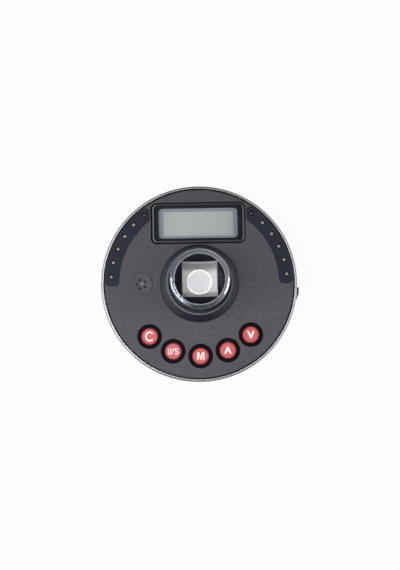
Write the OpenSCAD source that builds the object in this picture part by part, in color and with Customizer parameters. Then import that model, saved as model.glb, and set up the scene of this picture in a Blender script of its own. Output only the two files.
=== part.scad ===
// Digital torque angle gauge: a round case on a steel drive shaft, square socket above, square drive below.
// Millimetres. Z runs up the drive axis from the end of the male square to the rim of the socket boss.
// +Y points from the axis to the display, +X to the right of someone who reads it.

/* [Drive shaft] */
// Size across the flats of the male square
male_square = 12.65; // [12.5:0.05:12.7]
// Length of the male square, from its end to the shoulder
male_length = 15; // [13:0.5:18]
// Diameter to which the corners of the male square are turned
male_corner_d = 16.8; // [16:0.1:17.4]
// Diameter of the flat on the end of the male square
male_end_d = 11; // [9:0.5:12]
// Diameter of the shoulder that a socket seats against
shoulder_d = 21.6; // [20:0.2:22.4]
// Height of the shoulder behind the case
shoulder_h = 3; // [2.6:0.1:5]
// Diameter of the flange that seats inside the case
flange_d = 24.6; // [23.4:0.1:24.8]
// Size across the two flats of the flange
flange_flats = 23; // [22.4:0.1:24]
// Thickness of the flange
flange_t = 3; // [2:0.1:4]
// Outer diameter of the socket boss
boss_d = 22.1; // [21:0.1:22.6]
// Height of the boss above the display face
boss_height = 20; // [16:0.5:26]
// Rounding of the outer edge of the boss
boss_edge = 1; // [0.4:0.1:1.2]
// Size across the flats of the female square
female_square = 12.85; // [12.75:0.05:13.05]
// Depth of the female square below the boss rim
female_depth = 14.5; // [12:0.5:18]
// Diameter of the flat floor of the female square
female_floor_d = 9.3; // [8:0.1:11]
// Diameter of the lead-in cone at the boss rim
mouth_d = 18.4; // [17.6:0.1:18.8]

/* [Detent] */
// Diameter of the detent ball
ball_d = 4.8; // [4:0.1:5.2]
// How far the ball stands out of the male square
ball_rise = 1; // [0.7:0.1:1.3]
// Distance of the ball from the end of the male square
ball_height = 8; // [6.5:0.5:9]
// Travel of the ball
ball_travel = 0.9; // [0.5:0.1:1]
// Wire diameter of the detent spring
spring_wire = 0.45; // [0.3:0.05:0.6]
// Turns of the detent spring
spring_turns = 4; // [3:0.5:5]

/* [Case] */
// Diameter of the case over its rim ring
case_d = 75; // [68:0.5:82]
// Depth of the case from its back to the display face
case_depth = 20; // [19.6:0.2:26]
// Width of the rim ring
rim_w = 1; // [0.8:0.1:1.6]
// Height of the rim ring
rim_h = 7; // [6:0.2:8]
// How far the top of the rim ring lies below the display face
rim_drop = 0.5; // [0.3:0.1:1]
// Rounding of the outer edge of the rim ring
rim_edge = 0.6; // [0.3:0.1:0.8]
// Groove between the display face and the rim ring
rim_groove = 0.45; // [0.3:0.05:0.8]
// Thickness of the rib that clamps the rim ring in the seam
rib_t = 1; // [0.6:0.1:1.4]
// Depth of the seam below the display face
seam_depth = 6; // [5:0.1:6.5]
// Thickness of the display face
face_t = 2.2; // [1.8:0.1:3]
// Chamfer around the display face
face_edge = 0.35; // [0.1:0.05:0.5]
// Thickness of the front skirt
skirt_t = 1.3; // [1:0.1:1.5]
// Thickness of the rear floor
floor_t = 2.2; // [1.8:0.1:3]
// Step from the rim ring in to the rear wall
rear_step = 0.4; // [0.2:0.1:0.6]
// Rounding of the back edge
back_edge = 1.8; // [0.6:0.2:2]
// Width of the seal in the seam
seal_w = 0.8; // [0.6:0.1:1]
// Height of the seal in the seam
seal_h = 0.7; // [0.5:0.1:0.9]

/* [Collar] */
// Diameter of the collar where it meets the display face
collar_base_d = 29.5; // [28:0.1:30.4]
// Wall of the collar at its top, outside the rubber ring
collar_lip = 0.65; // [0.55:0.05:1.4]
// Height of the collar
collar_h = 8; // [5:0.5:12]
// Rounding of the top edge of the collar
collar_edge = 0.5; // [0.2:0.1:0.6]
// Width of the rubber ring between the collar and the boss
ring_seal_w = 0.7; // [0.5:0.05:0.75]
// Height of the rubber ring
ring_seal_h = 1.8; // [1:0.1:3]
// Wall of the sleeve inside the case
sleeve_t = 1.5; // [1:0.1:1.8]

/* [Display] */
// Distance from the end of the bezel to the side of the face
bezel_side = 18.2; // [18:0.05:20]
// Distance from the top of the bezel to the top of the face
bezel_top = 5.2; // [4.9:0.05:5.6]
// Distance from the collar to the bezel
display_gap = 0.7; // [0.6:0.05:1.2]
// Corner radius of the bezel
bezel_r = 2; // [1:0.1:3]
// Width of the raised rim of the bezel
bezel_rim = 0.9; // [0.7:0.05:1.2]
// How far the bezel stands above the display face
bezel_rise = 0.7; // [0.3:0.1:1.2]
// How far the viewing window lies above the middle of the bezel
view_lift = 0.1; // [0:0.05:0.3]
// Width of the black mask at each side
mask_side = 1.7; // [1.2:0.05:2.5]
// Width of the black mask above and below
mask_end = 0.9; // [0.7:0.05:1.4]
// Corner radius of the viewing window
view_r = 1.5; // [0.8:0.1:2]
// Width of the pale border at each side of the picture
border_side = 1.55; // [1:0.05:1.8]
// Width of the pale border above and below the picture
border_end = 1; // [0.6:0.05:1.3]
// Thickness of the lens
lens_t = 1; // [0.8:0.1:1.2]
// Thickness of the printed mask behind the lens
mask_t = 0.2; // [0.1:0.05:0.3]
// Thickness of the liquid crystal glass
glass_t = 2; // [1.6:0.1:2.4]
// Thickness of the light guide behind the glass
guide_t = 1.6; // [1.4:0.1:2.2]
// Thickness of the frame that holds the glass
frame_t = 0.8; // [0.6:0.1:1]

/* [Progress lights] */
// Lights on each side
led_count = 6; // [4:1:6]
// Angle of the first light above the X axis
led_first = 5.2; // [5:0.2:7]
// Distance from the last light to the upper end of its window
led_end = 1.93; // [1.6:0.05:2.6]
// Diameter of a light
led_d = 1.7; // [1.4:0.1:1.8]
// Distance of the lights from the edge of the display face
led_inset = 2.4; // [2.3:0.05:2.8]
// Width of the arc windows
window_w = 5.1; // [4.4:0.1:5.4]
// Strip of the face outside the arc windows
window_margin = 0.35; // [0.3:0.05:0.5]
// Thickness of the arc windows
window_t = 1.2; // [0.8:0.1:1.4]
// Height of the lower end of the windows above the X axis
window_low = -0.5; // [-1:0.1:0]
// Strip of the face between a window and the bezel
window_strip = 0.5; // [0.4:0.05:1]
// Corner radius of the arc windows
window_r = 1.5; // [0.8:0.1:1.9]

/* [Keys] */
// Distance of the keys from the edge of the face
key_inset = 8.35; // [7.6:0.05:8.5]
// Angle from one key to the next
key_step = 22; // [21.4:0.2:22.6]
// Diameter of a key
key_d = 6.3; // [5.8:0.1:6.8]
// Diameter of the ring around a key
key_ring_d = 9.4; // [8.8:0.1:9.6]
// How far the top of a key lies below the display face
key_sink = 0.2; // [0:0.1:0.4]
// How far the ring lies below the display face
key_ring_sink = 0.5; // [0.4:0.1:0.9]
// Rounding of the top of a key
key_edge = 0.5; // [0.2:0.1:0.8]
// Travel of a key
key_travel = 0.8; // [0.4:0.1:1]
// Thickness of the flanges under the keys and rings
key_flange_t = 0.8; // [0.6:0.1:1]

/* [Sounder] */
// How far the sounder lies outside the middle between the collar sleeve and the left window
sounder_shift = 0.5; // [0:0.05:0.8]
// Diameter of the dished grille
dish_d = 8.2; // [7:0.1:9]
// Depth of the dish
dish_depth = 0.4; // [0.2:0.05:0.6]
// Height of the lip around the dish
dish_lip = 0.15; // [0.1:0.05:0.3]
// Number of sound holes
sound_holes = 5; // [3:1:7]
// Diameter of a sound hole
sound_hole_d = 0.75; // [0.5:0.05:1]
// Radius of the circle of sound holes
sound_hole_r = 1.7; // [1.4:0.1:2.2]
// Room left beside the sounder
sounder_gap = 2.8; // [1.5:0.1:4]

/* [Battery tray] */
// Direction in which the tray slides out
tray_angle = -5.5; // [-7:0.5:-2]
// Gap between the tray and the flange's pocket, which sets the size of the coin cell
tray_clear = 0.6; // [0.4:0.1:4]
// Thickness of the coin cell
cell_t = 3.2; // [2:0.1:3.4]
// Thickness of the tray's floor
tray_floor = 0.8; // [0.6:0.1:1]
// Wall of the tray beside the cell
tray_wall = 0.8; // [0.6:0.1:1]
// Thickness of the tray's front
tray_front = 2; // [1.4:0.1:2.2]
// Width of the thumb lip
lip_w = 5.2; // [4:0.1:8]
// Height of the thumb lip
lip_h = 2.4; // [1.6:0.1:3]
// How far the thumb lip stands outside the rim ring
lip_out = 2; // [1:0.1:2.5]
// How much the lip falls away toward its lower end
lip_fall = 0.7; // [0.2:0.1:0.9]

/* [Board and screws] */
// Thickness of the circuit board
board_t = 1.6; // [1:0.1:1.8]
// Distance of the upper screws from the side of the face
screw_side = 13.8; // [13.2:0.1:14.4]
// Height of the upper screws above the drive axis
screw_rise = 15; // [14.8:0.1:15.6]
// Distance of the lower screws inside the circle of keys
screw_inset = 7.7; // [7.4:0.1:8]
// Size of the processor
processor_size = 10; // [6:1:12]
// Size of the gyro sensor
gyro_size = 4; // [3:0.5:6]
// Height of the chips
chip_t = 1.2; // [0.8:0.1:1.6]
// Diameter of the screws
screw_d = 2.2; // [1.8:0.1:2.4]
// Diameter of the screw heads
screw_head_d = 3.8; // [3.4:0.1:4]
// Height of the screw heads
screw_head_h = 1.6; // [1:0.1:2]
// Diameter of the screw posts
post_d = 5.2; // [5:0.1:5.4]

/* [Clearances] */
// Gap between pieces that are fixed to each other
fit = 0.1; // [0.05:0.01:0.15]
// Gap beside the pieces that slide
slide_gap = 0.15; // [0.1:0.01:0.2]
// Dark gap around the display bezel
bezel_gap = 0.3; // [0.2:0.05:0.4]
// Gap around the detent ball in its bore
ball_play = 0.06; // [0.03:0.01:0.1]

/* [Hidden] */
$fn = 96;
eps = 0.5;

// Levels along the drive axis
back_z = male_length + shoulder_h;
floor_z = back_z + floor_t;
face_z = back_z + case_depth;
under_z = face_z - face_t;
boss_z = face_z + boss_height;
collar_z = face_z + collar_h;
seam_z = face_z - seam_depth;
rim_z = face_z - rim_drop;
rim_low_z = rim_z - rim_h;
ledge_z = rim_low_z - fit;
board_z = under_z - frame_t - glass_t - guide_t;
board_low_z = board_z - board_t;
seat_z = face_z - lens_t - mask_t;

// Radii of the case, from the rim ring inwards
case_r = case_d / 2;
rim_in_r = case_r - rim_w;
face_r = rim_in_r - rim_groove;
inside_r = face_r - skirt_t;
rear_r = case_r - rear_step;
upper_r = rim_in_r - fit;
seal_mid_r = (inside_r + upper_r) / 2;

// Drive shaft
shoulder_r = shoulder_d / 2;
boss_r = boss_d / 2;
bore_r = boss_r + fit;
sleeve_r = bore_r + sleeve_t;
ring_seal_r = boss_r + ring_seal_w;
collar_base_r = collar_base_d / 2;
collar_top_r = ring_seal_r + fit + collar_lip;
clip_t = 1.2;
clip_depth = 0.9;
clip_rise = 2.2;
clip_opening = 44;
lug_r = 1.5;
lug_hole_r = 0.6;
clip_z = back_z - fit - clip_t;
pocket_wall = 1;
pocket_h = 2;
pocket_r = flange_d / 2 + fit + pocket_wall;

// Detent
ball_r = ball_d / 2;
ball_y = male_square / 2 + ball_rise - ball_r;
detent_bore_r = ball_r + ball_play;
detent_wall = 2;
detent_lip = 0.3;
detent_lip_r = sqrt(ball_r * ball_r - pow(ball_rise - ball_r + detent_lip, 2)) + ball_play;
spring_back = detent_wall - male_square / 2;
spring_front = ball_y - ball_r - ball_travel - fit;
spring_r = detent_bore_r - spring_wire / 2 - fit;

// Display
bezel_w = 2 * (face_r - bezel_side);
bezel_h = face_r - bezel_top - collar_base_r - display_gap;
display_y = collar_base_r + display_gap + bezel_h / 2;
view_y = display_y + view_lift;
lens_w = bezel_w - 2 * bezel_rim - 2 * fit;
lens_h = bezel_h - 2 * bezel_rim - 2 * fit;
lens_r = bezel_r - bezel_rim;
view_w = lens_w - 2 * mask_side;
view_h = lens_h - 2 * mask_end;
picture_w = view_w - 2 * border_side;
picture_h = view_h - 2 * border_end;
slope_w = 0.65;
slope_h = 0.3;
opening_w = bezel_w + 2 * bezel_gap;
opening_h = bezel_h + 2 * bezel_gap;
bezel_z = face_z + bezel_rise;
glass_side = 1;
glass_end = 1.4;
glass_w = picture_w + 2 * glass_side;
glass_h = picture_h + 2 * glass_end;
frame_wall = 0.75;
frame_w = glass_w + 2 * fit + 2 * frame_wall;
frame_h = glass_h + 2 * fit + 2 * frame_wall;
connector_w = 1.2;

// Progress lights
led_r = face_r - led_inset;
window_out_r = face_r - window_margin;
window_in_r = window_out_r - window_w;
window_x = bezel_w / 2 + bezel_gap + window_strip;
led_last = acos((window_x + led_end) / led_r);
led_step = (led_last - led_first) / (led_count - 1);

// Keys
key_pitch_r = face_r - key_inset;
key_r = key_d / 2;
key_ring_r = key_ring_d / 2;
key_flange_z = under_z - key_flange_t - fit;
key_low_z = key_flange_z - key_flange_t;
dome_h = key_low_z - fit - board_z;
dome_web = 0.4;
dome_top_r = key_r * 0.6;

// Sounder
sounder_x = (sleeve_r + window_in_r) / 2 + sounder_shift;
sounder_d = window_in_r - sleeve_r - 2 * sounder_gap;
sounder_hole_r = 0.75;

// Battery tray, drawn along X and turned to its direction
tray_z = floor_z + slide_gap;
cell_z = tray_z + tray_floor;
tray_front_in = rear_r - tray_front;
tray_in = pocket_r + tray_clear;
cell_pocket_r = (tray_front_in - tray_in - tray_wall) / 2;
cell_d = 2 * (cell_pocket_r - slide_gap);
cell_x = tray_front_in - cell_pocket_r;
tray_w = 2 * (cell_pocket_r + tray_wall);
cell_stand = 0.6;
tray_top = cell_z + cell_t - cell_stand;
slot_top = cell_z + cell_t + slide_gap;
rail_t = 1.2;
notch_w = 6;
contact_w = 4;
contact_t = 0.3;
contact_reach = 4;
lip_corner = 0.3;
cell_seam = 0.6;

// Chips, above and below the middle of the sounder
chip_rise = 4;
gyro_drop = 8;

// Screws
screw_x = face_r - screw_side;
screw_low_r = key_pitch_r - screw_inset;
screw_low_x = screw_low_r * sin(1.5 * key_step);
screw_low_y = -screw_low_r * cos(1.5 * key_step);
screw_places = [
  [screw_x, screw_rise], [-screw_x, screw_rise], [screw_low_x, screw_low_y], [-screw_low_x, screw_low_y]
];
slot_w = 0.7;
cross_w = 2.4;
cross_depth = 0.8;
screw_r = screw_d / 2;
head_sink = 0.3;
head_z = back_z + head_sink + screw_head_h;
tip_skin = 1;
screw_tip_z = under_z - tip_skin;

// Points along an arc
function arc(x, y, r, from, to, steps) =
  [for (i = [0:steps]) let (a = from + (to - from) * i / steps) [x + r * cos(a), y + r * sin(a)]];

// Outline of a rectangle with round corners
function round_rect(w, h, r) = let (x = w / 2 - r, y = h / 2 - r) concat(
  arc(x, y, r, 0, 90, 8), arc(-x, y, r, 90, 180, 8), arc(-x, -y, r, 180, 270, 8), arc(x, -y, r, 270, 360, 8)
);

// Outline of the right arc window, let out by grow on every side
function window_outline(grow) = let (
  in_r = window_in_r - grow, out_r = window_out_r + grow, low = window_low - grow, left = window_x - grow,
  r = window_r + grow,
  // Angles at which the four corner circles sit, seen from the drive axis
  low_in = asin((low + r) / (in_r + r)), low_out = asin((low + r) / (out_r - r)),
  top_in = acos((left + r) / (in_r + r)), top_out = acos((left + r) / (out_r - r))
) concat(
  arc(0, 0, in_r, top_in, low_in, 24),
  arc((in_r + r) * cos(low_in), low + r, r, 180 + low_in, 270, 8),
  arc((out_r - r) * cos(low_out), low + r, r, 270, 360 + low_out, 8),
  arc(0, 0, out_r, low_out, top_out, 24),
  arc(left + r, (out_r - r) * sin(top_out), r, top_out, 180, 8),
  arc(left + r, (in_r + r) * sin(top_in), r, 180, 180 + top_in, 8)
);

module plate(outline, low, high) {
  translate([0, 0, low]) linear_extrude(high - low) polygon(outline);
}

module rod(r, low, high) {
  translate([0, 0, low]) cylinder(r = r, h = high - low);
}

module display_plate(w, h, r, y, low, high) {
  translate([0, y, 0]) plate(round_rect(w, h, r), low, high);
}

module at_keys(first = 0, last = 4) {
  for (i = [first:last]) rotate(-90 + (i - 2) * key_step) translate([key_pitch_r, 0, 0]) children();
}

module at_leds(first, last) {
  for (side = [0, 1], i = [first:last]) mirror([side, 0, 0])
    rotate(led_first + i * led_step) translate([led_r, 0, 0]) children();
}

module at_screws() {
  for (place = screw_places) translate(place) children();
}

module along_tray() {
  rotate(tray_angle) children();
}

// Block that starts at x, is centred on Y and spans the given heights
module block(x, length, w, low, high) {
  translate([x, -w / 2, low]) cube([length, w, high - low]);
}

// Case

module front_shell() {
  lean = atan((collar_base_r - collar_top_r) / collar_h);
  edge_r = collar_top_r + collar_edge * (tan(lean) - 1 / cos(lean));
  rotate_extrude() polygon(concat(
    [
      [bore_r, board_low_z], [sleeve_r, board_low_z], [sleeve_r, under_z], [inside_r, under_z],
      [inside_r, seam_z + rib_t], [face_r, seam_z + rib_t], [face_r, face_z - face_edge],
      [face_r - face_edge, face_z], [collar_base_r, face_z]
    ],
    arc(edge_r, collar_z - collar_edge, collar_edge, lean, 90, 6),
    [
      [ring_seal_r + fit, collar_z], [ring_seal_r + fit, collar_z - ring_seal_h],
      [bore_r, collar_z - ring_seal_h]
    ]
  ));
}

module dish_grille() {
  ball = (dish_d * dish_d / 4 + dish_depth * dish_depth) / (2 * dish_depth);
  translate([-sounder_x, 0, 0]) {
    translate([0, 0, face_z + dish_lip + ball - dish_depth]) sphere(r = ball);
    for (i = [1:sound_holes]) rotate(180 + i * 360 / sound_holes) translate([sound_hole_r, 0, 0])
      rod(sound_hole_d / 2, under_z - eps, face_z + eps);
  }
}

// Low bank around the dish, twice as wide as it is high
module dish_bank() {
  top_r = dish_d / 2 + fit;
  translate([-sounder_x, 0, 0]) rotate_extrude() polygon([
    [0, under_z], [top_r + 2 * dish_lip, under_z], [top_r + 2 * dish_lip, face_z],
    [top_r, face_z + dish_lip], [0, face_z + dish_lip]
  ]);
}

module front_cover() {
  color([0.3, 0.3, 0.33]) difference() {
    union() {
      front_shell();
      dish_bank();
      at_screws() rod(post_d / 2, board_z, under_z + eps);
    }
    at_screws() rod(screw_r + fit, board_z - eps, screw_tip_z + fit);
    for (side = [0, 1]) mirror([side, 0, 0]) plate(window_outline(fit), face_z - window_t, face_z + eps);
    at_leds(0, led_count - 1) rod(led_d / 2 + fit, under_z - eps, face_z);
    display_plate(opening_w, opening_h, bezel_r + bezel_gap, display_y, seat_z, face_z + eps);
    display_plate(view_w + 2 * fit, view_h + 2 * fit, view_r, view_y, under_z - eps, seat_z + eps);
    at_keys() rod(key_ring_r, under_z - eps, face_z + eps);
    dish_grille();
  }
}

module rim_ring() {
  color([0.78, 0.79, 0.8]) rotate_extrude() polygon(concat(
    [
      [rim_in_r, rim_low_z], [case_r - rim_edge / 2, rim_low_z], [case_r, rim_low_z + rim_edge / 2]
    ],
    arc(case_r - rim_edge, rim_z - rim_edge, rim_edge, 0, 90, 6),
    [
      [rim_in_r, rim_z], [rim_in_r, seam_z + rib_t], [inside_r + rim_groove, seam_z + rib_t],
      [inside_r + rim_groove, seam_z], [rim_in_r, seam_z]
    ]
  ));
}

module flange_outline(grow) {
  intersection() {
    circle(d = flange_d + 2 * grow);
    square([flange_d + 2 * grow + 1, flange_flats + 2 * grow], center = true);
  }
}

module rear_shell() {
  rotate_extrude() polygon(concat(
    [[shoulder_r + fit, back_z]],
    arc(rear_r - back_edge, back_z + back_edge, back_edge, 270, 360, 8),
    [
      [rear_r, ledge_z], [upper_r, ledge_z], [upper_r, seam_z],
      [seal_mid_r + seal_w / 2 + fit / 2, seam_z], [seal_mid_r + seal_w / 2 + fit / 2, seam_z - seal_h],
      [seal_mid_r - seal_w / 2 - fit / 2, seam_z - seal_h], [seal_mid_r - seal_w / 2 - fit / 2, seam_z],
      [inside_r, seam_z], [inside_r, floor_z], [shoulder_r + fit, floor_z]
    ]
  ));
}

module flange_pocket() {
  translate([0, 0, floor_z - eps]) linear_extrude(pocket_h + eps) difference() {
    circle(r = pocket_r);
    flange_outline(fit);
  }
}

module tray_rails() {
  along_tray() intersection() {
    rod(inside_r + eps, floor_z - eps, tray_top);
    for (side = [-1, 1]) translate([0, side * (tray_w / 2 + slide_gap + rail_t / 2), 0])
      block(tray_in, rear_r, rail_t, floor_z - eps, tray_top);
  }
}

module rear_cover() {
  color([0.1, 0.1, 0.11]) difference() {
    union() {
      rear_shell();
      flange_pocket();
      tray_rails();
      at_screws() rod(post_d / 2, floor_z - eps, board_low_z);
    }
    at_screws() rod(screw_r + fit, back_z - eps, board_low_z + eps);
    at_screws() rod(screw_head_d / 2 + fit, back_z - eps, head_z);
    along_tray() block(cell_x, rear_r, tray_w + 2 * slide_gap, floor_z, slot_top);
  }
}

module case_seal() {
  color([0.05, 0.05, 0.05]) rotate_extrude() translate([seal_mid_r - seal_w / 2, seam_z - seal_h])
    square([seal_w, seal_h]);
}

// Drive

module male_end() {
  cone_h = (male_corner_d - male_end_d) / 2;
  intersection() {
    block(-male_square / 2, male_square, male_square, 0, male_length + eps);
    rotate_extrude() polygon([
      [0, 0], [male_end_d / 2, 0], [male_corner_d / 2, cone_h],
      [male_corner_d / 2, male_length + eps], [0, male_length + eps]
    ]);
  }
}

module shaft_body() {
  rotate_extrude() polygon(concat(
    [
      [0, male_length], [shoulder_r, male_length], [shoulder_r, clip_z],
      [shoulder_r - clip_depth, clip_z], [shoulder_r - clip_depth, back_z - fit], [shoulder_r, back_z - fit],
      [shoulder_r, floor_z + eps], [boss_r, floor_z + eps]
    ],
    arc(boss_r - boss_edge, boss_z - boss_edge, boss_edge, 0, 90, 6),
    [[0, boss_z]]
  ));
}

module female_square_cut() {
  floor_level = boss_z - female_depth;
  reach = female_square;
  intersection() {
    block(-female_square / 2, female_square, female_square, floor_level, boss_z + eps);
    rotate_extrude() polygon([
      [0, floor_level], [female_floor_d / 2, floor_level], [reach, floor_level + reach - female_floor_d / 2],
      [reach, boss_z + eps], [0, boss_z + eps]
    ]);
  }
}

module mouth_cut() {
  translate([0, 0, boss_z - mouth_d / 2]) cylinder(r1 = 0, r2 = mouth_d / 2, h = mouth_d / 2);
  rod(mouth_d / 2, boss_z, boss_z + eps);
}

module detent_cut() {
  translate([0, 0, ball_height]) rotate([90, 0, 0]) {
    rod(detent_bore_r, spring_back, male_square / 2 - detent_lip);
    rod(detent_lip_r, spring_back, male_square / 2 + eps);
  }
}

module drive_shaft() {
  color([0.8, 0.8, 0.82]) difference() {
    union() {
      male_end();
      shaft_body();
      translate([0, 0, floor_z]) linear_extrude(flange_t) flange_outline(0);
    }
    female_square_cut();
    mouth_cut();
    detent_cut();
  }
}

module at_lugs(out_r) {
  for (side = [-1, 1]) rotate(-90 + side * clip_opening / 2) translate([out_r - lug_r / 2, 0]) children();
}

module retaining_ring() {
  in_r = shoulder_r - clip_depth + fit / 2;
  out_r = shoulder_r + clip_rise;
  color([0.2, 0.2, 0.22]) translate([0, 0, clip_z + fit / 2]) linear_extrude(clip_t - fit) difference() {
    union() {
      circle(r = out_r);
      at_lugs(out_r) circle(r = lug_r);
    }
    circle(r = in_r);
    polygon([
      [0, 0], 2 * out_r * [sin(clip_opening / 4), -cos(clip_opening / 4)],
      2 * out_r * [-sin(clip_opening / 4), -cos(clip_opening / 4)]
    ]);
    at_lugs(out_r) circle(r = lug_hole_r);
  }
}

module collar_seal() {
  color([0.04, 0.04, 0.04]) rotate_extrude() translate([boss_r + fit / 2, collar_z - ring_seal_h])
    square([ring_seal_w, ring_seal_h - fit]);
}

module detent_ball() {
  color([0.75, 0.75, 0.77]) translate([0, -ball_y, ball_height]) sphere(r = ball_r);
}

// Closed tube along a helix, with its coils on the Z axis
module coil(radius, wire, low, high, turns) {
  sides = 8;
  rings = turns * 16;
  points = [for (i = [0:rings], k = [0:sides - 1]) let (
    turn = 360 * turns * i / rings,
    across = radius + wire / 2 * cos(360 * k / sides),
    level = low + wire / 2 + (high - low - wire) * i / rings
  ) [across * cos(turn), across * sin(turn), level + wire / 2 * sin(360 * k / sides)]];
  walls = [for (i = [0:rings - 1], k = [0:sides - 1]) let (n = (k + 1) % sides)
    [i * sides + k, (i + 1) * sides + k, (i + 1) * sides + n, i * sides + n]];
  ends = [[for (k = [0:sides - 1]) k], [for (k = [sides - 1:-1:0]) rings * sides + k]];
  polyhedron(points, concat(walls, ends));
}

module detent_spring() {
  color([0.6, 0.6, 0.62]) translate([0, 0, ball_height]) rotate([90, 0, 0])
    coil(spring_r, spring_wire, spring_back, spring_front, spring_turns);
}

// Display

module display_bezel() {
  top_w = bezel_w - 2 * slope_w;
  top_h = bezel_h - 2 * slope_w;
  color([0.06, 0.06, 0.08]) difference() {
    union() {
      display_plate(bezel_w, bezel_h, bezel_r, display_y, seat_z, bezel_z - slope_h);
      hull() {
        display_plate(bezel_w, bezel_h, bezel_r, display_y, bezel_z - 2 * slope_h, bezel_z - slope_h);
        display_plate(top_w, top_h, bezel_r - slope_w, display_y, face_z, bezel_z);
      }
    }
    display_plate(lens_w + 2 * fit, lens_h + 2 * fit, lens_r, display_y, seat_z - eps, bezel_z + eps);
  }
}

module display_lens() {
  color([0.75, 0.8, 0.82, 0.35]) display_plate(lens_w, lens_h, lens_r, display_y, seat_z + mask_t, face_z);
}

module lens_mask() {
  color([0.05, 0.06, 0.09]) difference() {
    display_plate(lens_w, lens_h, lens_r, display_y, seat_z, seat_z + mask_t);
    display_plate(view_w, view_h, view_r, view_y, seat_z - eps, seat_z + mask_t + eps);
  }
}

module lcd_frame() {
  color([0.47, 0.5, 0.55]) difference() {
    display_plate(frame_w, frame_h, view_r, view_y, board_z, under_z);
    display_plate(glass_w + 2 * fit, glass_h + 2 * fit, fit, view_y, board_z - eps, under_z - frame_t);
    display_plate(picture_w, picture_h, view_r / 2, view_y, board_z, under_z + eps);
  }
}

module lcd_glass() {
  color([0.65, 0.68, 0.67])
    display_plate(glass_w, glass_h, fit, view_y, board_z + guide_t, under_z - frame_t);
}

module lcd_light_guide() {
  color([0.9, 0.9, 0.86]) display_plate(picture_w, picture_h - fit, fit, view_y, board_z, board_z + guide_t);
}

module lcd_connectors() {
  color([0.85, 0.5, 0.55]) for (side = [-1, 1]) translate([0, side * (glass_h - connector_w) / 2, 0])
    display_plate(picture_w, connector_w, fit, view_y, board_z, board_z + guide_t);
}

// Progress lights

module led_window_right() {
  color([0.15, 0.17, 0.21]) difference() {
    plate(window_outline(0), face_z - window_t, face_z);
    at_leds(0, led_count - 1) rod(led_d / 2 + fit, face_z - window_t - eps, face_z + eps);
  }
}

module led_window_left() {
  mirror([1, 0, 0]) led_window_right();
}

module led() {
  rotate_extrude() polygon(concat(
    [[0, board_z], [led_d / 2, board_z]],
    arc(0, face_z - led_d / 2, led_d / 2, 0, 90, 8)
  ));
}

module guide_leds() {
  color([0.9, 0.9, 0.85]) at_leds(0, led_count - 2) led();
}

module target_leds() {
  color([0.8, 0.1, 0.1]) at_leds(led_count - 1, led_count - 1) led();
}

// Keys

// One moulding: five rings on a strip that lies under the face
module key_rings() {
  first = -90 - 2 * key_step;
  last = -90 + 2 * key_step;
  in_r = key_pitch_r - key_r;
  out_r = key_pitch_r + key_r;
  strip = concat(arc(0, 0, out_r, first, last, 32), arc(0, 0, in_r, last, first, 32));
  color([0.03, 0.03, 0.04]) difference() {
    union() {
      plate(strip, under_z - key_flange_t, under_z);
      at_keys() rod(key_ring_r + key_flange_t, under_z - key_flange_t, under_z);
      at_keys() rod(key_ring_r - fit / 2, under_z - key_flange_t, face_z - key_ring_sink);
    }
    at_keys() rod(key_r + slide_gap, under_z - key_flange_t - eps, face_z + eps);
  }
}

module key(i) {
  top = face_z - key_sink;
  color([0.85, 0.2, 0.22]) at_keys(i, i) rotate_extrude() polygon(concat(
    [
      [0, key_low_z], [key_r + key_flange_t, key_low_z],
      [key_r + key_flange_t, key_flange_z], [key_r, key_flange_z]
    ],
    arc(key_r - key_edge, top - key_edge, key_edge, 0, 90, 6),
    [[0, top]]
  ));
}

// Rubber dome that carries a key and makes its contact on the board
module dome(i) {
  web = dome_web;
  top_r = dome_top_r;
  color([0.5, 0.5, 0.52]) at_keys(i, i) translate([0, 0, board_z]) rotate_extrude() polygon([
    [key_r - web, 0], [key_r + web, 0], [key_r + web, web], [key_r, web], [top_r, dome_h - web],
    [top_r, dome_h], [0, dome_h], [0, key_travel + fit], [top_r - web, key_travel + fit], [key_r - web, web]
  ]);
}

module clear_key() { key(0); }
module unit_key() { key(1); }
module mode_key() { key(2); }
module up_key() { key(3); }
module down_key() { key(4); }

module clear_dome() { dome(0); }
module unit_dome() { dome(1); }
module mode_dome() { dome(2); }
module up_dome() { dome(3); }
module down_dome() { dome(4); }

// Electronics

module main_board() {
  color([0.1, 0.35, 0.2]) difference() {
    rod(inside_r - 2 * fit, board_low_z, board_z);
    rod(sleeve_r + 2 * fit, board_low_z - eps, board_z + eps);
    at_screws() rod(screw_r + fit, board_low_z - eps, board_z + eps);
  }
}

module chip(y, size) {
  color([0.08, 0.08, 0.09]) translate([-sounder_x, y, 0])
    block(-size / 2, size, size, board_low_z - chip_t, board_low_z);
}

module processor_chip() {
  chip(chip_rise, processor_size);
}

module gyro_chip() {
  chip(-gyro_drop, gyro_size);
}

module sounder() {
  color([0.07, 0.07, 0.08]) translate([-sounder_x, 0, 0]) difference() {
    rod(sounder_d / 2, board_z, under_z - fit);
    rod(sounder_hole_r, under_z - tip_skin, under_z);
  }
}

// Battery tray

module tray_lip() {
  mid = (tray_z + slot_top) / 2;
  half = lip_w / 2;
  tip = case_r + lip_out;
  corner = lip_corner;
  plate(
    [
      [rear_r - eps, -half], [tip - lip_fall - corner, -half], [tip - lip_fall, corner - half], [tip, 0],
      [tip, half - corner], [tip - corner, half], [rear_r - eps, half]
    ],
    mid - lip_h / 2, mid + lip_h / 2
  );
}

module battery_tray() {
  color([0.07, 0.07, 0.08]) along_tray() difference() {
    union() {
      block(tray_in, tray_front_in - tray_in + eps, tray_w, tray_z, tray_top);
      intersection() {
        rod(rear_r, tray_z, slot_top - slide_gap);
        block(tray_front_in, rear_r, tray_w, tray_z, slot_top);
      }
      tray_lip();
    }
    translate([cell_x, 0, 0]) rod(cell_pocket_r, cell_z, slot_top);
    block(tray_in - eps, tray_wall + 2 * eps, notch_w, tray_z - eps, slot_top);
  }
}

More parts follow.
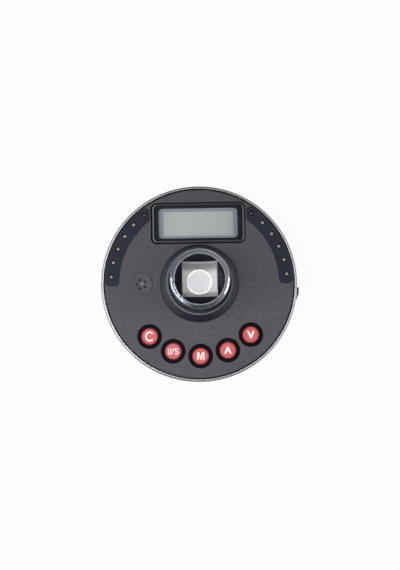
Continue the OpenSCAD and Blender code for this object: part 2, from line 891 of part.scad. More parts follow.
module coin_cell() {
  seam = cell_seam;
  color([0.8, 0.8, 0.8]) along_tray() translate([cell_x, 0, cell_z]) rotate_extrude() polygon([
    [0, 0], [cell_d / 2 - seam, 0], [cell_d / 2, seam], [cell_d / 2, cell_t - seam / 2],
    [cell_d / 2 - seam / 2, cell_t], [0, cell_t]
  ]);
}

// Leaf that presses on the face of the cell
module cell_top_contact() {
  touch = cell_z + cell_t + fit;
  pad = contact_reach;
  color([0.85, 0.75, 0.4]) along_tray() translate([cell_x - 2 * pad, contact_w / 2, 0]) rotate([90, 0, 0])
    linear_extrude(contact_w) polygon([
      [0, board_low_z], [0, board_low_z - contact_t], [pad - contact_t, board_low_z - contact_t],
      [2 * pad - contact_t, touch], [3 * pad, touch], [3 * pad, touch + contact_t],
      [2 * pad, touch + contact_t], [pad, board_low_z]
    ]);
}

// Strip that touches the edge of the cell
module cell_side_contact() {
  color([0.85, 0.75, 0.4]) along_tray()
    block(cell_x - cell_d / 2 - slide_gap - contact_t, contact_t, contact_w, cell_z + fit, board_low_z);
}

module case_screws() {
  color([0.3, 0.3, 0.32]) at_screws() difference() {
    union() {
      rod(screw_head_d / 2, back_z + head_sink, head_z);
      rod(screw_r, head_z - eps, screw_tip_z);
    }
    for (turn = [0, 90]) rotate(turn)
      block(-cross_w / 2, cross_w, slot_w, back_z, back_z + head_sink + cross_depth);
  }
}

front_cover();
rim_ring();
rear_cover();
case_seal();
drive_shaft();
retaining_ring();
collar_seal();
detent_ball();
detent_spring();
display_bezel();
display_lens();
lens_mask();
lcd_frame();
lcd_glass();
lcd_light_guide();
lcd_connectors();
led_window_left();
led_window_right();
guide_leds();
target_leds();
key_rings();
clear_key();
unit_key();
mode_key();
up_key();
down_key();
clear_dome();
unit_dome();
mode_dome();
up_dome();
down_dome();
main_board();
processor_chip();
gyro_chip();
sounder();
battery_tray();
coin_cell();
cell_top_contact();
cell_side_contact();
case_screws();
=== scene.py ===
import math

import bmesh
import bpy
from mathutils import Matrix, Vector


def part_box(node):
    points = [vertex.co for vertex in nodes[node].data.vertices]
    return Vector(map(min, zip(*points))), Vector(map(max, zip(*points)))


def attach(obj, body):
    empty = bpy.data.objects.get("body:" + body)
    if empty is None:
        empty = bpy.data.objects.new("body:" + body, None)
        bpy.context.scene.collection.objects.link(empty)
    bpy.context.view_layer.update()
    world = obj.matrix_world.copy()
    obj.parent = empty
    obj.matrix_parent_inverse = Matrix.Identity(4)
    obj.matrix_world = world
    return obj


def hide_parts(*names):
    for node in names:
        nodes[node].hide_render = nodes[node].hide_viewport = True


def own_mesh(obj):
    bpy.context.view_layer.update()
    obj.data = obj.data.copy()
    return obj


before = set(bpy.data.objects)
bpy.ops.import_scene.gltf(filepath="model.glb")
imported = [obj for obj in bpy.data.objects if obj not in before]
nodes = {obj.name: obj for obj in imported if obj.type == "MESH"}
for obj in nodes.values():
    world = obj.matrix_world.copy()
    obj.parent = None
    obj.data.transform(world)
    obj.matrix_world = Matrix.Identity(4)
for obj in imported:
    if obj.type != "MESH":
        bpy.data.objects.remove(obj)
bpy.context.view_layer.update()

MM = 0.001

# Drive shaft: boss, lead-in cone and the square well
BOSS_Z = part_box("drive_shaft")[1].z
MOUTH_R = 9.2 * MM
MOUTH_LOW_Z = BOSS_Z - 8 * MM
SQUARE_HALF = 6.425 * MM
WELL_FLOOR_R = 4.65 * MM
WELL_LOW_Z = BOSS_Z - 18 * MM
TURNING_PITCH = 0.66 * MM

# Collar of the front cover, its bore and the seat of the rubber ring
COLLAR_BASE_R = 14.75 * MM
COLLAR_TOP_R = 12.5 * MM
COLLAR_EDGE = 0.5 * MM
COLLAR_H = 8 * MM
COLLAR_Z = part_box("front_cover")[1].z
FACE_Z = COLLAR_Z - COLLAR_H
BORE_R = 11.15 * MM
SEAL_R = 11.85 * MM
SEAL_H = 1.8 * MM

# Sounder's dish
SOUNDER_X = 22.13 * MM
DISH_R = 4.1 * MM
DISH_DEPTH = 0.4 * MM
DISH_LIP = 0.15 * MM
SOUND_HOLES = 5
SOUND_HOLE_R = 1.7 * MM

# Display and rim
BEZEL_LOW, BEZEL_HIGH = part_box("display_bezel")
BEZEL_R = 2 * MM
GLASS_LOW, GLASS_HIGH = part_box("lcd_glass")
RIM_IN_R = 36.5 * MM

# Keys from left to right, some degrees apart on a circle
KEYS = ["clear", "unit", "mode", "up", "down"]
KEY_TOP_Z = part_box("mode_key")[1].z
KEY_R = 3.15 * MM
KEY_PITCH = 27.7 * MM
KEY_STEP = 22
LEGEND_RISE = 0.03 * MM
LEGEND_THICK = 0.05 * MM

# Camera: lens, height over the face, lean for each metre of height, roll, and shift in photo pixels
LENS_MM = 66.5
SENSOR_MM = 36
CAMERA_RISE = 0.4
CAMERA_LEAN = (-0.013, -0.0815)
CAMERA_ROLL = math.radians(-1.12)
CAMERA_SHIFT_PX = (0.74, -1.77)
PHOTO_HEIGHT_PX = 570

# Half the width of the studio's floor
FLOOR_HALF = 20.0


def key_place(i):
    angle = math.radians(-90 + (i - 2) * KEY_STEP)
    return KEY_PITCH * math.cos(angle), KEY_PITCH * math.sin(angle)


def sound_hole_place(i):
    angle = math.radians(180 + i * 360 / SOUND_HOLES)
    return SOUND_HOLE_R * math.cos(angle) - SOUNDER_X, SOUND_HOLE_R * math.sin(angle)


def lin(r, g, b):
    """A colour given in sRGB steps of 255, as the shader's linear values."""
    return tuple(
        c / 12.92 if c <= 0.04045 else ((c + 0.055) / 1.055) ** 2.4
        for c in (r / 255, g / 255, b / 255)
    ) + (1.0,)


class Shader:
    """A material's node tree, with short words for the nodes used here."""

    def __init__(self, name):
        self.material = bpy.data.materials.new(name)
        self.material.use_nodes = True
        self.tree = self.material.node_tree
        self.bsdf = self.tree.nodes["Principled BSDF"]
        self.place = self.tree.nodes.new("ShaderNodeTexCoord").outputs["Object"]

    def feed(self, socket, value):
        """Sets the socket to a plain value, or links it to another node's output."""
        if isinstance(value, (int, float, tuple)):
            socket.default_value = value
        else:
            self.tree.links.new(value, socket)

    def set(self, **values):
        for name, value in values.items():
            self.feed(self.bsdf.inputs[name.replace("_", " ")], value)

    def noise(self, scale, detail=4, rough=0.6):
        n = self.tree.nodes.new("ShaderNodeTexNoise")
        n.inputs["Scale"].default_value = scale
        n.inputs["Detail"].default_value = detail
        n.inputs["Roughness"].default_value = rough
        self.feed(n.inputs["Vector"], self.place)
        return n.outputs["Fac"]

    def spread(self, fac, low, high, start=0.3, end=0.7):
        """Low at the start and high at the end of the range, and even between them."""
        n = self.tree.nodes.new("ShaderNodeMapRange")
        n.inputs["From Min"].default_value = start
        n.inputs["From Max"].default_value = end
        n.inputs["To Min"].default_value = low
        n.inputs["To Max"].default_value = high
        self.feed(n.inputs["Value"], fac)
        return n.outputs["Result"]

    def mix(self, fac, a, b):
        """The colour a where the factor is 0, and b where it is 1."""
        n = self.tree.nodes.new("ShaderNodeMix")
        n.data_type = "RGBA"
        # The node's colours have the same names as its numbers and vectors, so they go by place
        factor, first, second, result = n.inputs[0], n.inputs[6], n.inputs[7], n.outputs[2]
        self.feed(first, a)
        self.feed(second, b)
        self.feed(factor, fac)
        return result

    def math(self, what, *values):
        n = self.tree.nodes.new("ShaderNodeMath")
        n.operation = what
        for socket, value in zip(n.inputs, values):
            self.feed(socket, value)
        return n.outputs[0]

    def plus(self, a, b):
        return self.math("ADD", a, b)

    def minus(self, a, b):
        return self.math("SUBTRACT", a, b)

    def times(self, a, b):
        return self.math("MULTIPLY", a, b)

    def most(self, a, b):
        return self.math("MAXIMUM", a, b)

    def above(self, value, limit):
        return self.math("GREATER_THAN", value, limit)

    def below(self, value, limit):
        return self.math("LESS_THAN", value, limit)

    def absolute(self, value):
        return self.math("ABSOLUTE", value)

    def away(self, value, middle):
        return self.absolute(self.minus(value, middle))

    def length(self, x, y):
        return self.math("SQRT", self.plus(self.times(x, x), self.times(y, y)))

    def axes(self):
        n = self.tree.nodes.new("ShaderNodeSeparateXYZ")
        self.feed(n.inputs[0], self.place)
        return n.outputs

    def radius(self, x=0.0, y=0.0):
        """The distance from a place, seen from above."""
        px, py, _ = self.axes()
        return self.length(self.minus(px, x), self.minus(py, y))

    def nearest(self, places):
        """The distance from the nearest of these places, seen from above."""
        away = self.radius(*places[0])
        for x, y in places[1:]:
            away = self.math("MINIMUM", away, self.radius(x, y))
        return away

    def near(self, value, middle, full, none):
        """1 up to the full distance from the middle, down to 0 at the none distance."""
        return self.spread(self.away(value, middle), 1, 0, full, none)

    def bump(self, height, strength, distance):
        n = self.tree.nodes.new("ShaderNodeBump")
        n.inputs["Strength"].default_value = strength
        n.inputs["Distance"].default_value = distance
        self.feed(n.inputs["Height"], height)
        self.set(Normal=n.outputs["Normal"])


def plain(name, colour, rough, metallic=0.0, grain=2500, depth=0.004, tone=0.06, shine=0.5):
    """A surface with fine grain, whose depth is in millimetres: its tone, gloss and height vary a little."""
    s = Shader(name)
    fine = s.noise(grain)
    wide = s.noise(90, detail=3)
    dark = tuple(c * (1 - tone) for c in colour[:3]) + (1.0,)
    light = tuple(min(1, c * (1 + tone)) for c in colour[:3]) + (1.0,)
    s.set(Base_Color=s.mix(s.spread(fine, 0, 1), dark, light), Metallic=metallic, Specular_IOR_Level=shine)
    s.set(Roughness=s.spread(wide, max(0.02, rough - 0.04), rough + 0.04))
    s.bump(fine, 0.25, depth * MM)
    return s.material


def face_tone(s, fine, y):
    """The grained face, with painted shade darkening it toward the display, a painted glint and faint
    painted sheen in the dish, and painted shade around the sound holes.
    """
    tone = s.mix(s.spread(fine, 0, 1), lin(49, 49, 57), lin(107, 106, 114))
    tone = s.mix(s.spread(s.noise(70, detail=2), 0, 0.16), tone, lin(52, 52, 60))
    # Painted highlight: a glint near the middle of the sounder's dish, and a faint painted sheen over the
    # dish
    glint = s.spread(s.radius(0.33 * MM - SOUNDER_X, 0.2 * MM), 0.75, 0, 0.2 * MM, 0.75 * MM)
    dish = s.spread(s.radius(-SOUNDER_X, 0), 0.04, 0, DISH_R - 0.7 * MM, DISH_R + 0.1 * MM)
    tone = s.mix(s.most(glint, dish), tone, lin(176, 170, 168))
    # Painted shade: a dark ring around each sound hole
    hole = s.nearest([sound_hole_place(i) for i in range(SOUND_HOLES)])
    tone = s.mix(s.spread(hole, 0.85, 0, 0.42 * MM, 0.62 * MM), tone, lin(14, 14, 17))
    # Painted shade: the face darkens toward the display
    return s.mix(s.spread(y, 0, 0.3, 8 * MM, 34 * MM), tone, lin(40, 39, 44))


def face_plastic():
    """Dark spark-eroded plastic. The cone of the collar is smoother, painted lighter at its left and right
    than at its top and bottom, with a painted highlight along its top edge. Painted shade darkens the foot
    of the collar and the hollows below the face.
    """
    s = Shader("face_plastic")
    fine = s.noise(2600, detail=5, rough=0.7)
    coarse = s.noise(900, detail=3)
    r = s.radius()
    x, y, z = s.axes()
    collar = s.spread(r, 1, 0, COLLAR_BASE_R - 0.15 * MM, COLLAR_BASE_R)
    # Painted light: the cone is lighter at its left and right than at its top and bottom
    side_light = s.math("DIVIDE", s.absolute(x), r)
    cone = s.mix(s.spread(side_light, 0, 1, 0.3, 0.95), lin(33, 38, 51), lin(78, 80, 88))
    tone = s.mix(collar, face_tone(s, fine, y), cone)
    # Painted shade: a dark line in the crease at the foot of the collar
    foot = s.near(r, COLLAR_BASE_R + 0.03 * MM, 0.1 * MM, 0.3 * MM)
    tone = s.mix(s.times(foot, 0.8), tone, lin(20, 20, 24))
    # Painted highlight along the collar's top edge
    edge = s.near(r, COLLAR_TOP_R - 0.2 * MM, 0.12 * MM, 0.3 * MM)
    edge = s.times(edge, s.spread(z, 0, 1, COLLAR_Z - 0.8 * MM, COLLAR_Z - 0.4 * MM))
    tone = s.mix(edge, tone, lin(100, 105, 118))
    # Painted shade: everything more than 0.4 mm below the face is dark
    recess_shade = s.below(z, FACE_Z - 0.4 * MM)
    s.set(Base_Color=s.mix(recess_shade, tone, lin(15, 15, 18)), Specular_IOR_Level=0.35)
    s.set(Roughness=s.spread(collar, 0.62, 0.42, 0, 1))
    grain = s.plus(fine, s.times(coarse, 0.5))
    s.bump(s.times(grain, s.spread(collar, 1, 0.15, 0, 1)), 0.5, 0.03 * MM)
    return s.material


def plating_tone(s, fine, x, y, end, turned):
    """Bright plating, painted lighter toward the top. The end of the boss has a painted highlight at its
    right, dark turning lines that fade toward that highlight, and painted shade in an arc at its bottom.
    """
    # Painted light: the plating is lighter toward the top
    tone = s.mix(s.spread(y, 0, 1, -10 * MM, 10 * MM), lin(168, 176, 192), lin(236, 242, 254))
    tone = s.mix(s.spread(fine, 0, 0.12), tone, lin(240, 240, 242))
    # Painted highlight at the right of the boss's end
    right = s.times(end, s.spread(x, 0, 0.8, -2 * MM, 6 * MM))
    tone = s.mix(right, tone, lin(255, 255, 255))
    # The turning lines fade toward the painted highlight at the right
    groove = s.times(turned, s.spread(x, 0.85, 0.5, -2 * MM, 6 * MM))
    tone = s.mix(groove, tone, lin(52, 57, 70))
    # Painted shade: a dark arc at the bottom of the boss's end
    bottom = s.times(s.spread(y, 0.7, 0, -9.4 * MM, -6.4 * MM), end)
    return s.mix(bottom, tone, lin(96, 102, 114))


def slope_tone(s, y):
    """The slope around the well's floor: white, with painted shade making it duller at its top and bottom.
    """
    # Painted shadow of the well's top wall, and painted shade at the bottom
    tone = s.mix(s.spread(y, 0, 1, 3.4 * MM, 5.2 * MM), lin(252, 250, 249), lin(168, 165, 163))
    return s.mix(s.spread(y, 1, 0, -4.7 * MM, -3.4 * MM), tone, lin(186, 183, 187))


def drive_chrome():
    """Bright plating. The lead-in cone is left dark, the square has a blasted floor with a painted highlight
    around its edge, and duller walls.
    """
    s = Shader("drive_chrome")
    r = s.radius()
    x, y, z = s.axes()
    fine = s.noise(1800)
    wide = s.noise(120, detail=3)

    square = s.most(s.absolute(x), s.absolute(y))
    in_well = s.above(z, WELL_LOW_Z)
    inside = s.times(s.below(square, SQUARE_HALF - 0.025 * MM), in_well)
    wall = s.times(s.below(s.away(square, SQUARE_HALF - 0.005 * MM), 0.018 * MM), in_well)
    # Painted highlight: a white ring around the edge of the well's floor
    line = s.times(s.near(r, WELL_FLOOR_R - 0.15 * MM, 0.08 * MM, 0.2 * MM), inside)
    sloped = s.times(s.above(r, WELL_FLOOR_R + 0.01 * MM), inside)
    disc = s.minus(inside, sloped)

    rim_z = BOSS_Z - 0.02 * MM
    mouth = s.times(s.below(r, MOUTH_R), s.above(z, MOUTH_LOW_Z))
    around = s.above(square, SQUARE_HALF + 0.015 * MM)
    cone = s.times(s.times(mouth, s.below(z, rim_z)), around)
    lip = s.times(s.near(r, MOUTH_R + 0.1 * MM, 0.08 * MM, 0.16 * MM), s.above(z, rim_z))
    end = s.times(s.above(r, MOUTH_R + 0.05 * MM), s.above(z, BOSS_Z - 0.8 * MM))
    wave = s.math("SINE", s.times(r, 2 * math.pi / TURNING_PITCH))
    turned = s.times(s.spread(wave, 0, 1, -0.3, 0.7), end)

    tone = plating_tone(s, fine, x, y, end, turned)
    tone = s.mix(disc, tone, lin(208, 206, 208))
    tone = s.mix(sloped, tone, slope_tone(s, y))
    tone = s.mix(lip, tone, lin(120, 124, 134))
    # Painted highlight around the floor's edge
    tone = s.mix(line, tone, lin(255, 255, 255))
    tone = s.mix(wall, tone, lin(218, 216, 219))
    s.set(Base_Color=s.mix(cone, tone, lin(28, 32, 43)))
    s.set(Metallic=s.minus(s.spread(cone, 1.0, 0.3, 0, 1), sloped))
    matt = s.minus(s.most(inside, lip), s.times(line, 0.12))
    rough = s.plus(s.spread(wide, 0.1, 0.14), s.times(matt, 0.4))
    s.set(Roughness=s.plus(rough, s.times(wall, 0.25)))
    s.bump(s.plus(fine, s.times(turned, 12)), 0.1, 0.003 * MM)
    return s.material


def bezel_plastic():
    """Black, with a painted highlight along its slope, brighter toward its two ends and most at the left,
    and painted shade at its foot.
    """
    s = Shader("bezel_plastic")
    fine = s.noise(3500)
    x, y, _ = s.axes()
    # Painted highlight: its band follows the slope, shifted this far to the right
    highlight_shift = 0.15 * MM
    core_x = BEZEL_HIGH.x - BEZEL_R - highlight_shift
    core_y = (BEZEL_HIGH.y - BEZEL_LOW.y) / 2 - BEZEL_R
    across = s.away(x, highlight_shift)
    rise = s.away(y, (BEZEL_LOW.y + BEZEL_HIGH.y) / 2)
    out = s.length(s.most(s.minus(across, core_x), 0), s.most(s.minus(rise, core_y), 0))
    slope = s.near(out, 1.48 * MM, 0.3 * MM, 0.4 * MM)
    foot = s.spread(out, 0, 1, 1.8 * MM, 1.88 * MM)
    # Painted light: the slope's highlight is brighter toward the two ends, most at the left
    ends = s.mix(s.spread(x, 0, 1, -5 * MM, 5 * MM), lin(118, 120, 124), lin(86, 88, 93))
    slope_highlight = s.mix(s.spread(across, 0, 1, core_x + 0.5 * MM, core_x + 1.3 * MM), lin(62, 64, 70), ends)
    tone = s.mix(slope, lin(16, 20, 30), slope_highlight)
    # Painted shade: a dark band at the bezel's foot
    s.set(Base_Color=s.mix(foot, tone, lin(8, 9, 12)), Specular_IOR_Level=s.spread(foot, 0.3, 0.05, 0, 1))
    s.set(Roughness=s.spread(fine, 0.3, 0.36))
    s.bump(fine, 0.2, 0.003 * MM)
    return s.material


def key_plastic():
    """Red keys, with painted shade darkening them toward the edge."""
    s = Shader("key_red")
    fine = s.noise(3000)
    away = s.nearest([key_place(i) for i in range(len(KEYS))])
    # Painted shade: each key darkens toward its edge
    tone = s.mix(s.spread(away, 0, 1, KEY_R - 1.05 * MM, KEY_R), lin(216, 89, 93), lin(178, 71, 78))
    s.set(Base_Color=s.mix(s.spread(fine, 0, 0.06), tone, lin(240, 150, 150)), Specular_IOR_Level=0.4)
    s.set(Roughness=s.spread(s.noise(90, detail=3), 0.38, 0.46))
    s.bump(fine, 0.25, 0.003 * MM)
    return s.material


def picture_glass():
    """A switched-off liquid crystal: grey-green, with faint painted shade toward its edges, so a little
    paler toward the middle.
    """
    s = Shader("picture_glass")
    fine = s.noise(4000, detail=2)
    r = s.radius(0, (GLASS_LOW.y + GLASS_HIGH.y) / 2)
    # Painted shade: a little darker toward the edges
    tone = s.mix(s.spread(r, 0, 1, 0, 14 * MM), lin(179, 186, 183), lin(176, 184, 181))
    s.set(Base_Color=s.mix(s.spread(fine, 0, 0.15), tone, lin(140, 150, 148)), Roughness=0.35)
    s.bump(fine, 0.05, 0.002 * MM)
    return s.material


def clear(name, colour, alpha, rough):
    """A see-through plastic."""
    s = Shader(name)
    wide = s.noise(150, detail=2)
    s.set(Base_Color=colour, Alpha=alpha, IOR=1.49)
    s.set(Roughness=s.spread(wide, rough, rough + 0.03))
    s.material.surface_render_method = "BLENDED"
    return s.material


def led(name, tip, side):
    """A clear dome, with a painted highlight at its tip and painted shade toward its side."""
    s = Shader(name)
    wide = s.noise(800, detail=2)
    _, _, z = s.axes()
    # Painted highlight at the dome's tip, painted shade toward its side
    s.set(Base_Color=s.mix(s.spread(z, 0, 1, FACE_Z - 0.45 * MM, FACE_Z - 0.1 * MM), side, tip))
    s.set(Roughness=s.spread(wide, 0.08, 0.14), Specular_IOR_Level=0.9)
    return s.material


def rim_metal():
    """Satin metal, painted lighter at its left and right sides, with a dark line. Painted shade makes the
    wall inside the groove dark.
    """
    s = Shader("rim_metal")
    fine = s.noise(1500)
    wide = s.noise(120, detail=3)
    r = s.radius()
    x, _, _ = s.axes()
    # Painted shade on the wall inside the groove
    groove_shade = s.below(r, RIM_IN_R + 0.06 * MM)
    side_light = s.math("DIVIDE", s.absolute(x), r)
    # Painted light: brighter at the left and right sides
    tone = s.mix(s.spread(side_light, 0, 1, 0.3, 0.95), lin(158, 158, 161), lin(208, 208, 211))
    tone = s.mix(s.spread(fine, 0, 0.15), tone, lin(230, 230, 232))
    edge = s.near(r, RIM_IN_R + 0.62 * MM, 0.06 * MM, 0.16 * MM)
    tone = s.mix(s.times(edge, 0.75), tone, lin(92, 92, 96))
    s.set(Base_Color=s.mix(groove_shade, tone, lin(14, 14, 16)))
    s.set(Metallic=s.spread(groove_shade, 1.0, 0.0, 0, 1), Roughness=s.spread(wide, 0.52, 0.58))
    s.bump(fine, 0.15, 0.003 * MM)
    return s.material


def floor_white():
    """Pale ground, which glows evenly where the camera, a reflection or a clear piece shows it."""
    s = Shader("floor_white")
    s.set(Base_Color=lin(242, 242, 243), Roughness=0.9)
    glow = s.tree.nodes.new("ShaderNodeEmission")
    glow.inputs["Strength"].default_value = 1.0
    ray = s.tree.nodes.new("ShaderNodeLightPath").outputs
    bent = s.most(ray["Is Glossy Ray"], ray["Is Transmission Ray"])
    seen = s.times(s.most(ray["Is Camera Ray"], bent), 0.95)
    blend = s.tree.nodes.new("ShaderNodeMixShader")
    for socket, value in zip(blend.inputs, (seen, s.bsdf.outputs[0], glow.outputs[0])):
        s.feed(socket, value)
    s.feed(s.tree.nodes["Material Output"].inputs["Surface"], blend.outputs[0])
    return s.material


red = key_plastic()
black_gloss = plain("key_ring_black", lin(23, 11, 17), 0.5, tone=0.1, shine=0.04)
white_ink = plain("legend_white", lin(244, 242, 240), 0.45, tone=0.01)
rear_black = plain("rear_plastic", lin(40, 40, 44), 0.55, grain=2000, depth=0.02, tone=0.12)
seal = plain("seal_rubber", lin(24, 24, 27), 0.7, tone=0.1)
smoke = plain("window_smoke", lin(49, 52, 63), 0.11, grain=5000, depth=0.0005, tone=0.04, shine=0.15)
brass = plain("contact_brass", lin(205, 170, 100), 0.3, metallic=1.0)
steel = plain("ball_steel", lin(205, 205, 210), 0.2, metallic=1.0, tone=0.03)
chip = plain("chip_black", lin(30, 30, 32), 0.6)

looks = {
    "front_cover": face_plastic(),
    "rim_ring": rim_metal(),
    "rear_cover": rear_black,
    "battery_tray": rear_black,
    "case_seal": seal,
    "collar_seal": seal,
    "drive_shaft": drive_chrome(),
    "retaining_ring": plain("clip_steel", lin(58, 58, 62), 0.4, metallic=0.8),
    "detent_ball": steel,
    "detent_spring": steel,
    "display_bezel": bezel_plastic(),
    "display_lens": clear("lens_clear", lin(225, 232, 235), 0.02, 0.04),
    "lens_mask": plain("mask_black", lin(7, 13, 28), 0.45, tone=0.04, shine=0.06),
    "lcd_frame": plain("frame_grey", lin(132, 139, 152), 0.5, tone=0.03),
    "lcd_glass": picture_glass(),
    "lcd_light_guide": plain("guide_white", lin(236, 236, 230), 0.3, tone=0.02),
    "lcd_connectors": plain("connector_rubber", lin(205, 150, 150), 0.6),
    "led_window_left": smoke,
    "led_window_right": smoke,
    "guide_leds": led("led_clear", lin(158, 150, 142), lin(40, 42, 48)),
    "target_leds": led("led_red", lin(92, 58, 64), lin(46, 38, 44)),
    "key_rings": black_gloss,
    "main_board": plain("board_green", lin(30, 92, 58), 0.4),
    "processor_chip": chip,
    "gyro_chip": chip,
    "sounder": plain("sounder_black", lin(34, 34, 36), 0.5),
    "coin_cell": plain("cell_steel", lin(208, 208, 206), 0.28, metallic=1.0, tone=0.03),
    "cell_top_contact": brass,
    "cell_side_contact": brass,
    "case_screws": plain("screw_steel", lin(92, 92, 96), 0.35, metallic=1.0),
}
for key in KEYS:
    looks[key + "_key"] = red
    looks[key + "_dome"] = plain("dome_rubber_" + key, lin(140, 140, 142), 0.7)
for name, material in looks.items():
    nodes[name].data.materials.clear()
    nodes[name].data.materials.append(material)


def new_object(name, data):
    item = bpy.data.objects.new(name, data)
    bpy.context.scene.collection.objects.link(item)
    return item


def built(name, verts, faces):
    """A piece with a new mesh of these corners and faces."""
    mesh = bpy.data.meshes.new(name)
    mesh.from_pydata(verts, [], faces)
    mesh.update()
    return new_object(name, mesh)


def arc(x, y, rx, ry, start, end, steps=20):
    return [
        (x + rx * math.cos(math.radians(start + (end - start) * i / steps)),
         y + ry * math.sin(math.radians(start + (end - start) * i / steps)))
        for i in range(steps + 1)
    ]


def mirror(points):
    """The given right half of an outline, and its mirror image in the left half."""
    return points + [(-x, y) for x, y in reversed(points)]


def stroke(points, width):
    """The outline of a stroke that follows the points, with mitred corners."""
    left, right = [], []
    for i, p in enumerate(points):
        before = points[max(0, i - 1)]
        after = points[min(len(points) - 1, i + 1)]
        a = Vector((p[0] - before[0], p[1] - before[1]))
        b = Vector((after[0] - p[0], after[1] - p[1]))
        a = a.normalized() if a.length else b.normalized()
        b = b.normalized() if b.length else a
        normal = Vector((-(a.y + b.y), a.x + b.x)).normalized()
        reach = width / 2 / max(0.35, normal.dot(Vector((-a.y, a.x))))
        left.append((p[0] + normal.x * reach, p[1] + normal.y * reach))
        right.append((p[0] - normal.x * reach, p[1] - normal.y * reach))
    return left + right[::-1]


def raised(name, outlines, top, thick, material):
    """Flat raised shapes, each the inside of an outline."""
    verts, faces = [], []
    for outline in outlines:
        points = [p for i, p in enumerate(outline) if p != outline[i - 1]]
        turning = sum(p[0] * q[1] - q[0] * p[1] for p, q in zip(points, points[1:] + points[:1]))
        points = points if turning > 0 else points[::-1]
        n, start = len(points), len(verts)
        verts += [(x, y, top - thick) for x, y in points] + [(x, y, top) for x, y in points]
        faces.append([start + i for i in reversed(range(n))])
        faces.append([start + n + i for i in range(n)])
        for i in range(n):
            k = (i + 1) % n
            faces.append([start + i, start + k, start + n + k, start + n + i])
    piece = built(name, verts, faces)
    piece.data.materials.append(material)
    return piece


# Outlines of each legend in millimetres from the middle of its key
LEGENDS = {
    "clear": [stroke(arc(0.05, 0.0, 1.46, 1.6, 42, 318, 32), 0.6)],
    "unit": [
        stroke([(-1.8, 1.15)] + arc(-1.32, -0.62, 0.48, 0.48, 180, 360, 12) + [(-0.84, 1.15)], 0.38),
        stroke([(-0.46, -1.2), (0.2, 1.2)], 0.26),
        stroke(arc(1.22, 0.52, 0.54, 0.5, 15, 270, 14) + arc(1.22, -0.52, 0.58, 0.54, 85, -165, 14), 0.38),
    ],
    "mode": [mirror([
        (0, -0.3), (0.5, 1.43), (1.4, 1.43), (1.4, -1.43), (0.74, -1.43), (0.74, 0.8), (0.27, -1.43),
    ])],
    "up": [mirror([(0.34, 1.35), (1.45, -1.35), (0.7, -1.35), (0, 0)])],
    "down": [mirror([(0, -0.12), (0.72, 1.4), (1.5, 1.4), (0.32, -1.4)])],
}
for i, key in enumerate(KEYS):
    cx, cy = key_place(i)
    placed = [[(cx + x * MM, cy + y * MM) for x, y in outline] for outline in LEGENDS[key]]
    legend = raised(key + "_legend", placed, KEY_TOP_Z + LEGEND_RISE, LEGEND_THICK, white_ink)
    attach(legend, key + "_button")


def revolved(name, profile, steps=192):
    """A closed ring: the profile's points of radius and height, turned about the drive axis."""
    verts, faces = [], []
    n = len(profile)
    for i in range(steps):
        angle = 2 * math.pi * i / steps
        verts += [(r * math.cos(angle), r * math.sin(angle), z) for r, z in profile]
        k = (i + 1) % steps
        for j in range(n):
            m = (j + 1) % n
            faces.append([i * n + j, k * n + j, k * n + m, i * n + m])
    return built(name, verts, faces)


def dish_ball():
    """The ball that hollows the sounder's dish, a hair larger than in the solid."""
    seam = 0.01 * MM
    ball_r = (DISH_R ** 2 + DISH_DEPTH ** 2) / (2 * DISH_DEPTH)
    shape = bmesh.new()
    bmesh.ops.create_uvsphere(shape, u_segments=192, v_segments=96, radius=ball_r + seam)
    mesh = bpy.data.meshes.new("dish_ball")
    shape.to_mesh(mesh)
    shape.free()
    ball = new_object("dish_ball", mesh)
    ball.location = (-SOUNDER_X, 0, FACE_Z + DISH_LIP - DISH_DEPTH + ball_r)
    return ball


def collar_side():
    """The left of the collar, which the dish's ball takes out of the solid."""
    lean = math.atan2(COLLAR_BASE_R - COLLAR_TOP_R, COLLAR_H)
    edge_r = COLLAR_TOP_R + COLLAR_EDGE * (math.tan(lean) - 1 / math.cos(lean))
    rounding = arc(edge_r, COLLAR_Z - COLLAR_EDGE, COLLAR_EDGE, COLLAR_EDGE, math.degrees(lean), 90, 6)
    seat_z = COLLAR_Z - SEAL_H
    seat = [(SEAL_R, COLLAR_Z), (SEAL_R, seat_z), (BORE_R, seat_z)]
    side = revolved("collar_side", [(BORE_R, FACE_Z), (COLLAR_BASE_R, FACE_Z)] + rounding + seat)
    ball = dish_ball()
    cut = side.modifiers.new("left", "BOOLEAN")
    cut.operation = "INTERSECT"
    cut.solver = "EXACT"
    cut.object = ball
    graph = bpy.context.evaluated_depsgraph_get()
    left = bpy.data.meshes.new_from_object(side.evaluated_get(graph))
    side.modifiers.clear()
    side.data = left
    bpy.data.objects.remove(ball)
    left.materials.clear()
    left.materials.append(looks["front_cover"])
    left.shade_smooth()
    left.set_sharp_from_angle(angle=math.radians(30))
    return side


collar = collar_side()
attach(collar, "housing")

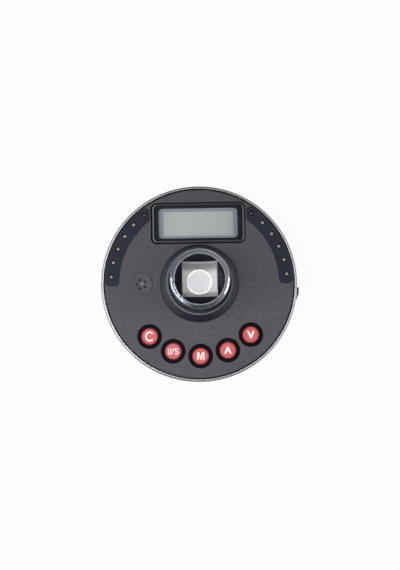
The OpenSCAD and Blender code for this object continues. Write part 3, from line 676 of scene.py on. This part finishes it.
# The rubber domes under the keys, which flatten as a key goes down in the real tool: here each is a copy of
# its solid, riding with the housing in place of the solid
for i, key in enumerate(KEYS):
    solid = nodes[key + "_dome"]
    dome = new_object(key + "_dome_rubber", solid.data.copy())
    dome.matrix_world = solid.matrix_world.copy()
    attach(dome, "housing")
    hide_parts(key + "_dome")
    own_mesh(dome)


# Studio: a pale floor, a soft box at each side, a large one from the lower left, a small one near the axis
scene = bpy.context.scene
scene.view_settings.view_transform = "Standard"

corners = [(FLOOR_HALF * x, FLOOR_HALF * y, 0) for x, y in ((-1, -1), (1, -1), (1, 1), (-1, 1))]
floor = built("floor", corners, [(0, 1, 2, 3)])
floor.data.materials.append(floor_white())


face_middle = Vector((0, 0, FACE_Z))


def soft_box(name, place, size, watts):
    """A lit rectangle that points at the middle of the face."""
    light = bpy.data.lights.new(name, "AREA")
    light.shape = "RECTANGLE"
    light.size, light.size_y = size
    light.energy = watts
    lamp = new_object(name, light)
    lamp.location = place
    lamp.rotation_euler = (face_middle - Vector(place)).to_track_quat("-Z", "Y").to_euler()


soft_box("left_box", place=(-0.42, -0.04, 0.42), size=(0.22, 0.4), watts=0.65)
soft_box("right_box", place=(0.42, -0.06, 0.36), size=(0.22, 0.4), watts=0.95)
soft_box("front_box", place=(-0.33, -0.19, 0.4), size=(0.52, 0.52), watts=0.7)
soft_box("top_box", place=(-0.042, -0.018, 0.3), size=(0.04, 0.04), watts=0.215)

world = bpy.data.worlds.new("studio")
scene.world = world
world.use_nodes = True
background = world.node_tree.nodes["Background"]
background.inputs["Color"].default_value = (1, 1, 1, 1)
background.inputs["Strength"].default_value = 0.2

# Camera: over the face, a little below its axis in the picture and to its left
camera_data = bpy.data.cameras.new("camera")
camera_data.lens = LENS_MM
camera_data.sensor_width = SENSOR_MM
camera_data.shift_x, camera_data.shift_y = (px / PHOTO_HEIGHT_PX for px in CAMERA_SHIFT_PX)
camera = new_object("camera", camera_data)
scene.camera = camera
eye = face_middle + Vector((*CAMERA_LEAN, 1.0)) * CAMERA_RISE
back = (eye - face_middle).normalized()
right = Vector((0, 1, 0)).cross(back).normalized()
up = back.cross(right)
turn = Matrix((right, up, back)).transposed().to_4x4()
camera.matrix_world = Matrix.Translation(eye) @ turn @ Matrix.Rotation(CAMERA_ROLL, 4, "Z")
